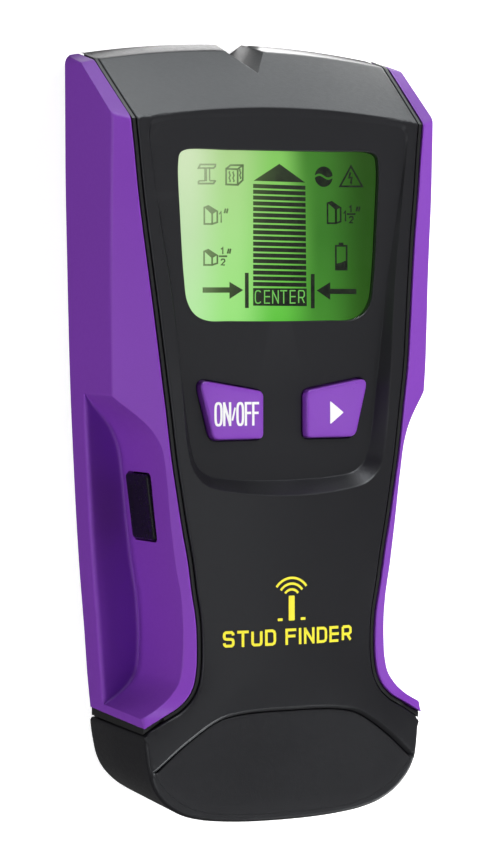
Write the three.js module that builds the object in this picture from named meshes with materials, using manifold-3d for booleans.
// Hand-held stud finder, lying on its back.
// Millimetres, +Z out of the display face, +Y towards the marking notch at the head,
// origin in the middle of the bottom of its bounding box.
import * as THREE from 'three';
import { mergeVertices } from 'three/addons/utils/BufferGeometryUtils.js';
import Module from 'manifold-3d';

const wasm = await Module();
wasm.setup();
const { Manifold, Mesh: SolidMesh } = wasm;

// ---------- driving dimensions ----------
const LENGTH = 176;          // along Y
const HALF_HEAD = 40.9;      // half width of the head at the back edge
const GAP = 0.3;             // clearance between neighbouring pieces
const Z_BACK = 2.0;          // back edge of the side panels and the front shell
const PLATE = 2.0;           // thickness of the rear cover plate
const WALL = 2.0;            // moulded wall thickness
const Z_PANEL = 28.6;        // flat display and key panel
const Z_GRIP = 33.7;         // top of the grip
const BAND = 1.35;           // black band round the coloured side panels
const ARCH = 3.6;            // rise of the arched head end in plan
const BEVEL_Y = 13.4, BEVEL_Z = 18.3;
const KEY_TRAVEL = 0.8, SCAN_TRAVEL = 0.8;
const BATTERY = { x: 26.5, y: 48.5, z: 17.5 };
const y = (s) => s - LENGTH / 2;          // s is the distance from the bottom end

// ---------- helpers ----------
const toSolid = (geometry) => {
  let g = geometry.index ? geometry : geometry.clone();
  g.deleteAttribute('normal'); g.deleteAttribute('uv');
  g = mergeVertices(g, 1e-4);
  return new Manifold(new SolidMesh({
    numProp: 3,
    vertProperties: new Float32Array(g.attributes.position.array),
    triVerts: new Uint32Array(g.index.array),
  }));
};
const shapeOf = (pts) => new THREE.Shape(pts.map((p) => new THREE.Vector2(p[0], p[1])));
const prismZ = (pts, z0, z1) => {
  const g = new THREE.ExtrudeGeometry(shapeOf(pts), { depth: z1 - z0, bevelEnabled: false, steps: 1 });
  g.translate(0, 0, z0);
  return toSolid(g);
};
// profile in (y, z), swept along X
const prismX = (pts, x0, x1) => {
  const g = new THREE.ExtrudeGeometry(shapeOf(pts), { depth: x1 - x0, bevelEnabled: false, steps: 1 });
  g.applyMatrix4(new THREE.Matrix4().makeBasis(new THREE.Vector3(0, 1, 0), new THREE.Vector3(0, 0, 1), new THREE.Vector3(1, 0, 0)));
  g.translate(x0, 0, 0);
  return toSolid(g);
};
// profile in (x, z), swept along Y
const prismY = (pts, y0, y1) => {
  const g = new THREE.ExtrudeGeometry(shapeOf(pts), { depth: y1 - y0, bevelEnabled: false, steps: 1 });
  g.applyMatrix4(new THREE.Matrix4().makeBasis(new THREE.Vector3(1, 0, 0), new THREE.Vector3(0, 0, 1), new THREE.Vector3(0, -1, 0)));
  g.translate(0, y1, 0);
  return toSolid(g);
};
const box = (x0, x1, y0, y1, z0, z1) => {
  const g = new THREE.BoxGeometry(x1 - x0, y1 - y0, z1 - z0);
  g.translate((x0 + x1) / 2, (y0 + y1) / 2, (z0 + z1) / 2);
  return toSolid(g);
};
const post = (x, yy, r, z0, z1, n = 16) => {
  const g = new THREE.CylinderGeometry(r, r, z1 - z0, n);
  g.rotateX(Math.PI / 2);
  g.translate(x, yy, (z0 + z1) / 2);
  return toSolid(g);
};
// revolved about an upright axis through (x, yy); profile in (radius, z)
const turned = (x, yy, profile, n = 20) => {
  const g = new THREE.LatheGeometry(profile.map((p) => new THREE.Vector2(p[0], p[1])), n);
  g.rotateX(Math.PI / 2);
  g.translate(x, yy, 0);
  const s = toSolid(g);
  return s;
};
const all = (list) => list.reduce((a, b) => a.add(b));
const both = (half) => [...half, ...half.slice().reverse().filter((p) => p[0] > 1e-6).map((p) => [-p[0], p[1]])];
const moved = (pts, dx, dy) => pts.map((p) => [p[0] + dx, p[1] + dy]);
// polygon offset by mitred normals (positive grows a counter-clockwise outline)
const offset = (pts, d) => {
  const n = pts.length, out = [];
  let area = 0;
  for (let i = 0; i < n; i++) { const a = pts[i], b = pts[(i + 1) % n]; area += a[0] * b[1] - b[0] * a[1]; }
  const sgn = area > 0 ? 1 : -1;
  for (let i = 0; i < n; i++) {
    const p = pts[(i + n - 1) % n], q = pts[i], r = pts[(i + 1) % n];
    let ax = q[0] - p[0], ay = q[1] - p[1], bx = r[0] - q[0], by = r[1] - q[1];
    const la = Math.hypot(ax, ay), lb = Math.hypot(bx, by);
    ax /= la; ay /= la; bx /= lb; by /= lb;
    let mx = sgn * (ay + by), my = -sgn * (ax + bx);
    const lm = Math.hypot(mx, my) || 1; mx /= lm; my /= lm;
    const c = Math.max(0.5, mx * sgn * ay + my * -sgn * ax);
    out.push([q[0] + mx * d / c, q[1] + my * d / c]);
  }
  return out;
};

const group = new THREE.Group();
const add = (name, solid, color, roughness, metalness = 0) => {
  const m = solid.getMesh();
  const g = new THREE.BufferGeometry();
  const pos = new Float32Array(m.vertProperties.length / m.numProp * 3);
  for (let i = 0; i < pos.length / 3; i++) for (let k = 0; k < 3; k++) pos[3 * i + k] = m.vertProperties[i * m.numProp + k];
  g.setAttribute('position', new THREE.BufferAttribute(pos, 3));
  g.setIndex(new THREE.BufferAttribute(new Uint32Array(m.triVerts), 1));
  g.computeVertexNormals();
  const mesh = new THREE.Mesh(g, new THREE.MeshStandardMaterial({ color, roughness, metalness }));
  mesh.name = name;
  group.add(mesh);
  return mesh;
};
const BLACK = 0x232326, PURPLE = 0x6d35a3, BOARD = 0x1f6b3a, STEEL = 0xb8bcc0, COPPER = 0xb87333;

// ---------- plan outlines (half, right side, listed from the bottom middle upwards) ----------
const endCurve = [[0, 0], [9, 0.1], [19, 1.1], [25, 3.2], [29, 6.0], [31.6, 9], [33.6, 12.9], [34.7, 17], [35.2, 21]];
const sideCurve = [[35.6, 25], [37.0, 44], [38.1, 58], [39.2, 78], [40.1, 101], [40.6, 126], [HALF_HEAD, 148], [HALF_HEAD, 169.5], [40.2, 171.8], [38.6, 173.2]];
const outer = both([...endCurve, ...sideCurve, [0, 177]]).map((p) => [p[0], y(p[1])]);
const seam = [[34.6, 20.8], [30.4, 23.3], [26.3, 25.6], [23.6, 28.2], [22.2, 30.8], [21.4, 34.5], [21.2, 40], [21.5, 46], [22.6, 52.6],
  [23.6, 59.5], [25.0, 67], [26.3, 75], [27.4, 82], [28.8, 93.5], [29.8, 101.4], [31.5, 118], [32.8, 130.3], [34.0, 141], [34.8, 150], [35.5, 157.2], [36.4, 171], [36.5, 177]];

// arched head end, turned about a far axis, and the long side profile
const R_HEAD = (HALF_HEAD * HALF_HEAD + ARCH * ARCH) / (2 * ARCH);
const headEnd = (inset) => {
  const r = (R_HEAD - inset) / Math.cos(Math.PI / 132) + 0.03, c = y(LENGTH) - R_HEAD;
  const g = new THREE.LatheGeometry([[0, 0.2], [r - 0.05, 0.2], [r, Z_BACK], [r - 2.0, 11.0 - inset * 0.5], [r - 2.0 - BEVEL_Y, 11.0 + BEVEL_Z - inset * 0.5], [r - 18, 45], [0, 45]]
    .map((p) => new THREE.Vector2(p[0], p[1])), 132, 0, Math.PI * 2);
  g.rotateX(Math.PI / 2);
  g.rotateZ(Math.PI / 132);
  g.translate(0, c, 0);
  return toSolid(g);
};
const frontLine = [[0, 28.8], [24.9, 32.2], [30, 32.9], [40, Z_GRIP], [72, Z_GRIP], [90, 32.8], [110, 31.6], [130, 30.4], [150, 29.3], [157.3, 28.9]];
const frontProfile = (drop, z0) => [[y(-1), z0], [y(180), z0], [y(180), 28.9 - drop], ...frontLine.slice().reverse().map((p) => [y(p[0]), p[1] - drop]), [y(-1), 28.8 - drop]];
const envelope = (drop, z0) => prismX(frontProfile(drop, z0), -60, 60).intersect(headEnd(drop));
const full = envelope(0, 0.2);
const inner = envelope(WALL, -1);

// ---------- front cover ----------
const tip = [[33.6, 12.9], [34.7, 17.6], [34.9, 20.6]];
const coverOutline = both([...endCurve.slice(0, 6), ...tip, ...seam.slice(1)]).map((p) => [p[0], y(p[1])]);
const coverInner = offset(coverOutline, -WALL);
let frontCover = prismZ(coverOutline, Z_BACK + GAP, 45).intersect(full);
frontCover = frontCover.subtract(prismZ(coverInner, -1, 45).intersect(inner));
// above the grip the cover is a lid with a short skirt; the walls below it belong to the mid frame
const lidCut = [[-60, y(29)], [60, y(29)], [60, y(160)], [-60, y(160)]];
frontCover = frontCover.subtract(prismZ(lidCut, -1, 24));
// flat recessed panel with sloping sides
const panelRim = both([[0, 72.8], [10, 73.4], [20.3, 75.5], [23.7, 79], [25.2, 85], [26.5, 100], [28.6, 122.2], [30.9, 138], [32.3, 150], [32.8, 158]]).map((p) => [p[0], y(p[1])]);
const panelFloor = both([[0, 76.6], [12, 77], [18.6, 78.1], [21.2, 80.5], [22.4, 84], [24.8, 100.5], [27, 119], [29.2, 132], [31.2, 144], [32.3, 155.5]]).map((p) => [p[0], y(p[1])]);
frontCover = frontCover.add(prismZ(panelRim, Z_PANEL - WALL, Z_PANEL + 4.8).intersect(envelope(0.02, 0.2)));
frontCover = frontCover.subtract(prismZ(panelFloor, Z_PANEL, 45));
frontCover = frontCover.subtract(prismZ(panelRim, Z_PANEL + 2.6, 45));
// window and key openings
const windowOutline = both([[0, 112.2], [18.5, 112.5], [21.4, 113.9], [23.2, 116.7], [24.0, 122], [24.9, 136], [25.3, 148], [24.7, 149.9], [23.6, 150.4], [0, 150.5]]).map((p) => [p[0], y(p[1])]);
frontCover = frontCover.subtract(prismZ(offset(windowOutline, GAP), Z_PANEL - 1.3, 45));
frontCover = frontCover.subtract(prismZ(offset(windowOutline, -1.3), 10, 45));
const keyRight = [[5.6, 86.4], [6.6, 85.4], [16.8, 85.4], [18.2, 86.4], [21.4, 97.9], [20.8, 99.0], [6.6, 96.7], [5.6, 95.8]].map((p) => [p[0], y(p[1])]);
const keyLeft = keyRight.map((p) => [-p[0], p[1]]).reverse();
for (const k of [keyRight, keyLeft]) frontCover = frontCover.subtract(prismZ(offset(k, 0.35), 10, 45));
// marking notch in the middle of the head end
const notch = [[0, y(168.6)], [5.3, y(175)], [5.3, y(182)], [-5.3, y(182)], [-5.3, y(175)]];
const notchWall = offset(notch, WALL);
frontCover = frontCover.add(prismZ(notchWall, 4, 45).intersect(envelope(0.02, 0.2)).intersect(prismZ(coverOutline, Z_BACK + GAP, 45)));
frontCover = frontCover.subtract(prismZ(notch, -1, 60));
// bay for the end cover below the arc
const arcHalf = [[0, 24.9], [6, 24.9], [12.5, 24.5], [17.5, 23.4], [25.2, 18.6], [32.4, 12.4]];
const endField = both([[0, 1.0], [9, 1.1], [18.7, 2.1], [24.4, 4.1], [28.2, 6.7], [30.8, 9.5], [32.2, 12.1], ...arcHalf.slice().reverse().slice(1)]).map((p) => [p[0], y(p[1])]);
frontCover = frontCover.subtract(prismZ(endField, 5, 45).subtract(prismX([[y(-2), -2], [y(60), -2], [y(60), 30.6], [y(24.9), 29.9], [y(-2), 26.3]], -60, 60)));
frontCover = frontCover.subtract(prismZ(offset(endField, -1.6), 5, 45));
// screw bosses under the cover
const SCREWS = [[-30, 152], [30, 152], [-24.8, 15], [24.8, 15]].map((p) => [p[0], y(p[1])]);
const bossTop = [25.8, 25.8, 21.0, 21.0];
SCREWS.forEach((p, i) => {
  frontCover = frontCover.add(post(p[0], p[1], 2.9, 13.0, bossTop[i] + 1.0, 12));
  if (i > 1) { const s = Math.sign(p[0]); frontCover = frontCover.add(box(Math.min(s * 25, s * 33.2), Math.max(s * 25, s * 33.2), p[1] - 0.8, p[1] + 0.8, 13.0, 22.0)); }
  frontCover = frontCover.subtract(post(p[0], p[1], 1.7, 12.0, i > 1 ? 20.5 : 22.5, 12));
});
const BOARD_SCREWS = [[-20.8, 105.4], [20.8, 105.4]].map((p) => [p[0], y(p[1])]);
for (const p of BOARD_SCREWS) frontCover = frontCover.add(post(p[0], p[1], 2.3, 18.9, 27.0, 12)).subtract(post(p[0], p[1], 1.3, 18, 25.0, 10));
add('front_cover', frontCover, BLACK, 0.55);

// ---------- end cover below the arc ----------
let endCover = prismZ(offset(endField, -GAP), 5, 45).intersect(envelope(0, 0.2));
endCover = endCover.subtract(prismX([[y(-2), -2], [y(60), -2], [y(60), 30.9], [y(24.9), 30.2], [y(-2), 26.6]], -60, 60));
endCover = endCover.add(prismZ(offset(endField, -2.2), 24, 31).intersect(envelope(0.6, 0.2)).subtract(prismX([[y(-2), -2], [y(60), -2], [y(60), 27.8], [y(24.9), 27.2], [y(-2), 23.6]], -60, 60)));
add('end_cover', endCover, 0x2c2c2f, 0.5);

// ---------- mid frame: the black band between cover and side panels, with a floor web ----------
const bandHalf = (grow) => {
  const open = seam.map((p) => [p[0], y(p[1])]);
  const n = open.length, out = [];
  for (let i = 0; i < n; i++) {
    const a = open[Math.max(0, i - 1)], b = open[Math.min(n - 1, i + 1)];
    let dx = b[0] - a[0], dy = b[1] - a[1]; const l = Math.hypot(dx, dy);
    out.push([open[i][0] + grow * dy / l, open[i][1] - grow * dx / l]);
  }
  return out;
};
const outerBody = prismZ(outer, Z_BACK + GAP, 45).intersect(full);
let midFrame = null;
for (const s of [1, -1]) {
  // the lower corners run out to the side wall under the coloured panels
  const a = bandHalf(GAP), b = bandHalf(BAND);
  a[0] = [36.5, y(20.9)]; b[0] = [36.5, y(22.5)];
  const pts = [...a, ...b.slice().reverse()].map((p) => [s * p[0], p[1]]);
  const wall = prismZ(s > 0 ? pts : pts.slice().reverse(), 6.0, 45).intersect(outerBody).intersect(prismZ(offset(outer, -0.4), 0, 45));
  midFrame = midFrame ? midFrame.add(wall) : wall;
}
const webOutline = both([[21.2, 29.5], [21.9, 32.5], [21.9, 46], [23.2, 53], [25.2, 66], [28, 84], [30.4, 101], [33.3, 130], [34.4, 152], [34.4, 158.5]]).map((p) => [p[0], y(p[1])]);
midFrame = midFrame.add(prismZ(webOutline, 6.0, 7.6));
// openings in the web: battery bay, sensor head, screw bosses, wiring
midFrame = midFrame.subtract(box(-15, 15, y(20), y(64), 5, 9));
midFrame = midFrame.subtract(box(-21, 21, y(113.5), y(156), 5, 9));
midFrame = midFrame.subtract(box(-13.5, 13.5, y(74), y(111), 5, 9));
for (const p of SCREWS) midFrame = midFrame.subtract(post(p[0], p[1], 3.4, 5, 9, 12));
// end stop of the battery bay
midFrame = midFrame.add(box(-16.6, 16.6, y(57.4), y(59.0), 6.2, 21.5).subtract(box(-9, 9, y(56), y(60), 9.5, 30)));
// opening for the side key, left side
const SCAN = { y0: y(63.2), y1: y(78.0), z0: 10.4, z1: 22.0 };
midFrame = midFrame.subtract(box(-34, -20, SCAN.y0 - 0.8, SCAN.y1 + 0.8, SCAN.z0 - 0.8, SCAN.z1 + 0.8));
add('mid_frame', midFrame, BLACK, 0.6);

// ---------- coloured side panels with the finger recess ----------
const recessWall = [[44, 99.8], [39.3, 95.6], [31.7, 87.4], [30.3, 83.5], [29.4, 77.5], [28.3, 68], [26.9, 58], [25.4, 49.1], [24.9, 42], [25.0, 37], [25.6, 32.6], [27.6, 29.7], [31.0, 27.0], [35.4, 24.9], [40, 22.9]];
const sidePanel = (s) => {
  const b = bandHalf(BAND + GAP).map((p) => [p[0], p[1]]);
  b[0] = [37.5, y(22.9)]; b[b.length - 1] = [38.2, y(177)];
  const out = [[45, y(22.9)], [45, y(177)]];
  let pts = [...b, ...out.slice().reverse()];
  pts = pts.map((p) => [s * p[0], p[1]]); if (s < 0) pts.reverse();
  let p = prismZ(pts, Z_BACK + GAP, 45).intersect(outerBody);
  // long chamfer between the side wall and the front
  const n = new THREE.Vector3(0.72, -0.02, 0.69).normalize();
  const g = new THREE.BoxGeometry(60, 260, 40);
  g.translate(0, 0, 20);
  const q = new THREE.Quaternion().setFromUnitVectors(new THREE.Vector3(0, 0, 1), n);
  g.applyQuaternion(q);
  g.translate(39.9, y(118), 25.6);
  if (s < 0) { g.scale(-1, 1, 1); const ix = g.index.array; for (let i = 0; i < ix.length; i += 3) { const t = ix[i]; ix[i] = ix[i + 1]; ix[i + 1] = t; } }
  p = p.subtract(toSolid(g).intersect(box(-60, 60, y(80), y(200), 0, 80)));
  // finger recess: floor slopes down towards its wall
  const rw = recessWall.map((k) => [s * k[0], y(k[1])]); const poly = [...rw, [s * 60, y(22.9)], [s * 60, y(99.8)]];
  if (s > 0) poly.reverse();
  const above = [[s * 20, 5.0], [s * 36.2, 9.6], [s * 60, 9.6], [s * 60, 60], [s * 20, 60]]; if (s < 0) above.reverse();
  p = p.subtract(prismZ(poly, 0, 60).intersect(prismY(above, y(10), y(110))));
  // hollow underside of the recess floor
  p = p.subtract(prismZ((() => { const h = [[27.6, 40], [33.2, 40], [35, 58], [36, 80], [31.8, 80], [30, 60]].map((k) => [s * k[0], y(k[1])]); return s > 0 ? h : h.reverse(); })(), 0, 4.6));
  if (s < 0) p = p.subtract(box(-34, -20, SCAN.y0 - GAP, SCAN.y1 + GAP, SCAN.z0 - GAP, SCAN.z1 + GAP));
  return p;
};
add('left_side_panel', sidePanel(-1), PURPLE, 0.45);
add('right_side_panel', sidePanel(1), PURPLE, 0.45);

// ---------- rear cover with a door opening at the bottom end ----------
const rearOutline = offset(outer, -1.6);
const archDisc = (inset, z0, z1) => {
  const r = (R_HEAD - inset) / Math.cos(Math.PI / 132);
  const g = new THREE.LatheGeometry([[0, z0], [r, z0], [r, z1], [0, z1]].map((p) => new THREE.Vector2(p[0], p[1])), 132);
  g.rotateX(Math.PI / 2);
  g.rotateZ(Math.PI / 132);
  g.translate(0, y(LENGTH) - R_HEAD, 0);
  return toSolid(g);
};
let rear = prismZ(rearOutline, 0, PLATE).intersect(archDisc(1.2, -1, 5)).intersect(box(-60, 60, y(0.4), y(180), -1, 5));
rear = rear.subtract(box(-16.9, 16.9, y(-5), y(58.3), -1, 5));
rear = rear.subtract(prismZ(notch, -1, 5));
// inner rib that locates the mid frame
const ribHalf = [[19.2, 27], [19.3, 46], [21, 54], [23.2, 66], [26, 84], [28.4, 101], [31.0, 130], [33.0, 150], [33.1, 162]];
const ribO = both(ribHalf).map((p) => [p[0], y(p[1])]);
const ribI = offset(ribO, -1.4);
let rib = prismZ(ribO, PLATE - 0.2, 5.6).subtract(prismZ(ribI, 0, 8)).subtract(box(-17.6, 17.6, y(0), y(59), 0, 8)).subtract(box(-40, 40, y(20), y(30.5), 0, 8));
rear = rear.add(rib);
// rails that hold the door, and screw pillars
for (const s of [-1, 1]) rear = rear.add(box(Math.min(s * 16.6, s * 20.2), Math.max(s * 16.6, s * 20.2), y(6), y(57), PLATE - 0.15, PLATE + 1.4));
rear = rear.subtract(box(-18.2, 18.2, y(-5), y(58.3), 0.8, 2.3));
SCREWS.forEach((p) => {
  rear = rear.add(post(p[0], p[1], 3.0, PLATE - 0.3, 12.6, 12));
  rear = rear.subtract(post(p[0], p[1], 2.5, -1, 5.4, 12));
  rear = rear.subtract(post(p[0], p[1], 1.55, 5, 13, 12));
});
add('rear_cover', rear, BLACK, 0.65);

// ---------- battery door, slides off towards the bottom end ----------
const doorEnd = prismZ(offset(rearOutline, -0.3), 0, 3);
let door = box(-16.6, 16.6, y(0), y(58), 0.3, 1.2).add(box(-17.9, 17.9, y(0), y(58), 1.1, PLATE)).intersect(doorEnd);
for (let i = 0; i < 6; i++) door = door.subtract(box(-8, 8, y(7 + 2.4 * i), y(8.2 + 2.4 * i), 0, 0.8));
add('battery_door', door, BLACK, 0.65);

// ---------- display: window, glass, light guide, carrier ----------
add('display_window', prismZ(windowOutline, Z_PANEL - 1.0, Z_PANEL - 0.1), 0xd8f0c0, 0.08);
add('lcd_panel', box(-23.4, 23.4, y(111.2), y(151.0), 24.2, 25.9), 0x9fd07a, 0.2);
add('backlight_panel', box(-23.4, 23.4, y(111.2), y(151.0), 21.4, 23.9), 0xcdeccb, 0.4);
let carrier = box(-25.6, 25.6, y(109.0), y(153.2), 18.9, 25.9).subtract(box(-23.7, 23.7, y(110.9), y(151.3), 21.1, 30)).subtract(box(-20, 20, y(114), y(148), 15, 30));
add('lcd_carrier', carrier, 0xe8e8e4, 0.5);
let strips = box(-18, 18, y(107.2), y(108.6), 18.9, 25.2);
add('lcd_contact_strip', strips, 0xc98f9a, 0.7);

// ---------- keys, switches ----------
const key = (outline, cx) => {
  let k = prismZ(outline, Z_PANEL - 1.6, Z_PANEL + 2.0);
  k = k.add(prismZ(offset(outline, 1.1), Z_PANEL - 3.2, Z_PANEL - 2.4).add(prismZ(offset(outline, -0.3), Z_PANEL - 2.5, Z_PANEL - 1.5)));
  k = k.add(box(cx - 1.6, cx + 1.6, y(89.2), y(92.4), 22.8, Z_PANEL - 3.1));
  return k;
};
add('power_button', key(keyLeft, -11.6), PURPLE, 0.35);
add('mode_button', key(keyRight, 11.6), PURPLE, 0.35);
const tact = (name, cx, cy) => {
  let b = box(cx - 3, cx + 3, cy - 3, cy + 3, 18.9, 21.3);
  b = b.subtract(post(cx, cy, 1.95, 19.6, 30, 12));
  add(name, b, 0x303034, 0.5);
  add(name + '_plunger', post(cx, cy, 1.6, 20.6, 22.5, 12), 0x1a1a1c, 0.5);
};
tact('power_switch', -11.6, y(90.8));
tact('mode_switch', 11.6, y(90.8));

// side key on the left, with its switch on the edge of the main board
let scan = box(-31.2, -26.4, SCAN.y0, SCAN.y1, SCAN.z0, SCAN.z1);
scan = scan.intersect(prismZ([[-30.5, y(78.1)], [-28.7, y(63.1)], [-22, y(63.1)], [-22, y(78.1)]], 0, 40));
scan = scan.add(box(-26.6, -24.2, y(69.2), y(72.0), 14.8, 17.6));
add('scan_button', scan, 0x1a1a1d, 0.35);
{
  const cy = y(70.6), cz = 16.2;
  let b = box(-22.3, -19.4, cy - 3, cy + 3, cz - 3, cz + 3);
  const g = new THREE.CylinderGeometry(1.95, 1.95, 4, 12); g.rotateZ(Math.PI / 2); g.translate(-22.0, cy, cz);
  b = b.subtract(toSolid(g));
  add('scan_switch', b, 0x303034, 0.5);
  const h = new THREE.CylinderGeometry(1.6, 1.6, 1.9, 12); h.rotateZ(Math.PI / 2); h.translate(-22.95, cy, cz);
  add('scan_switch_plunger', toSolid(h), 0x1a1a1c, 0.5);
}

// ---------- electronics ----------
let board = prismZ(both([[0, 78], [18.5, 78], [20.5, 84], [22.0, 92], [25.5, 110], [26.0, 153.6], [0, 153.6]]).map((p) => [p[0], y(p[1])]), 17.0, 18.6);
for (const p of BOARD_SCREWS) board = board.subtract(post(p[0], p[1], 1.3, 16, 20, 10));
add('main_board', board, BOARD, 0.5);
let sideBoard = box(-19.1, -17.7, y(64.4), y(76.2), 9.5, 22.5);
add('scan_switch_board', sideBoard, BOARD, 0.5);
let sensorBoard = prismZ(both([[0, 104.5], [25.0, 104.5], [28.6, 134], [29.4, 147.5], [25.5, 147.5], [25.5, 156.5], [30.6, 156.5], [30.8, 159.8], [0, 159.8]]).map((p) => [p[0], y(p[1])]), 3.2, 4.6);
add('sensor_board', sensorBoard, BOARD, 0.5);
add('sensor_plate_left', box(-19.6, -7.6, y(116), y(157), 2.3, 2.9), COPPER, 0.35, 1);
add('sensor_plate_middle', box(-5.6, 5.6, y(116), y(157), 2.3, 2.9), COPPER, 0.35, 1);
add('sensor_plate_right', box(7.6, 19.6, y(116), y(157), 2.3, 2.9), COPPER, 0.35, 1);
add('pickup_coil', turned(0, y(136), [[10.5, 5.2], [15.5, 5.2], [15.5, 10.2], [10.5, 10.2], [10.5, 5.2]], 24), COPPER, 0.4, 1);
add('coil_core', post(0, y(136), 4.0, 4.9, 11.2, 16), 0x3a3a3c, 0.8);
add('board_connector', box(-12, 12, y(107.0), y(109.6), 4.9, 16.7), 0x151517, 0.6);
add('controller_chip', box(-5.5, 5.5, y(94.5), y(105.5), 18.9, 20.6), 0x1b1b1d, 0.6);
add('sensor_chip', box(-4, 4, y(152.2), y(155.6), 4.9, 6.4), 0x1b1b1d, 0.6);
add('buzzer', turned(12.2, y(100.2), [[0, 8.6], [6.0, 8.6], [6.0, 16.7], [0, 16.7]], 20), 0x161618, 0.6);

// ---------- battery, snap connector and leads ----------
const BX = BATTERY.x / 2, BY0 = 4.2, BZ0 = 2.9;
let battery = prismY([[-BX + 2, BZ0], [BX - 2, BZ0], [BX, BZ0 + 2], [BX, BZ0 + BATTERY.z - 2], [BX - 2, BZ0 + BATTERY.z], [-BX + 2, BZ0 + BATTERY.z], [-BX, BZ0 + BATTERY.z - 2], [-BX, BZ0 + 2]], y(BY0), y(BY0 + BATTERY.y - 3.0));
const stud = (x, r, n) => { const g = new THREE.CylinderGeometry(r, r, 3.1, n); g.translate(x, y(BY0 + BATTERY.y - 1.5), BZ0 + BATTERY.z / 2); return toSolid(g); };
battery = battery.add(stud(-6.35, 2.85, 12)).add(stud(6.35, 3.6, 6));
add('battery_9v', battery, 0x8a8d90, 0.4, 0.3);
let snap = box(-12.6, 12.6, y(BY0 + BATTERY.y - 2.5), y(BY0 + BATTERY.y + 2.2), BZ0 + 2.6, BZ0 + BATTERY.z - 2.6);
for (const [x, r] of [[-6.35, 3.2], [6.35, 4.0]]) { const g = new THREE.CylinderGeometry(r, r, 3.4, 12); g.translate(x, y(BY0 + BATTERY.y - 1.3), BZ0 + BATTERY.z / 2); snap = snap.subtract(toSolid(g)); }
add('battery_snap', snap, 0x1c1c1e, 0.7);
const lead = (name, pts, color) => {
  const curve = new THREE.CatmullRomCurve3(pts.map((p) => new THREE.Vector3(...p)));
  const sec = new THREE.Shape(); const n = 8, r = 0.65;
  for (let i = 0; i < n; i++) { const a = i / n * Math.PI * 2; i ? sec.lineTo(r * Math.cos(a), r * Math.sin(a)) : sec.moveTo(r, 0); }
  const g = new THREE.ExtrudeGeometry(sec, { steps: 14, extrudePath: curve, bevelEnabled: false });
  add(name, toSolid(g), color, 0.5);
};
lead('battery_lead_positive', [[6.3, y(55.3), 14.6], [6.3, y(62), 14.6], [6.0, y(70), 14.2], [5.4, y(78.6), 14.4], [5.0, y(82.0), 14.9], [5.0, y(83.4), 16.0]], 0xb02020);
lead('battery_lead_negative', [[-6.3, y(55.3), 14.6], [-6.3, y(62), 14.6], [-6.0, y(70), 14.2], [-5.4, y(78.6), 14.4], [-5.0, y(82.0), 14.9], [-5.0, y(83.4), 16.0]], 0x151515);
add('battery_pad', box(-10, 10, y(8), y(44), BZ0 + BATTERY.z + 0.3, BZ0 + BATTERY.z + 3.2), 0x3c3c3e, 0.95);

// ---------- fasteners ----------
SCREWS.forEach((p, i) => {
  let s = post(p[0], p[1], 2.1, 3.6, 5.1, 12).add(post(p[0], p[1], 1.2, 5.0, i > 1 ? 19.5 : 21.5, 10));
  s = s.subtract(box(p[0] - 1.3, p[0] + 1.3, p[1] - 0.3, p[1] + 0.3, 3, 4.4)).subtract(box(p[0] - 0.3, p[0] + 0.3, p[1] - 1.3, p[1] + 1.3, 3, 4.4));
  add('housing_screw_' + (i + 1), s, STEEL, 0.35, 1);
});
BOARD_SCREWS.forEach((p, i) => {
  const s = post(p[0], p[1], 2.0, 15.2, 16.7, 12).add(post(p[0], p[1], 0.95, 16.6, 24.0, 10))
    .subtract(box(p[0] - 1.2, p[0] + 1.2, p[1] - 0.3, p[1] + 0.3, 15, 15.9)).subtract(box(p[0] - 0.3, p[0] + 0.3, p[1] - 1.2, p[1] + 1.2, 15, 15.9));
  add('board_screw_' + (i + 1), s, STEEL, 0.35, 1);
});

export default group;
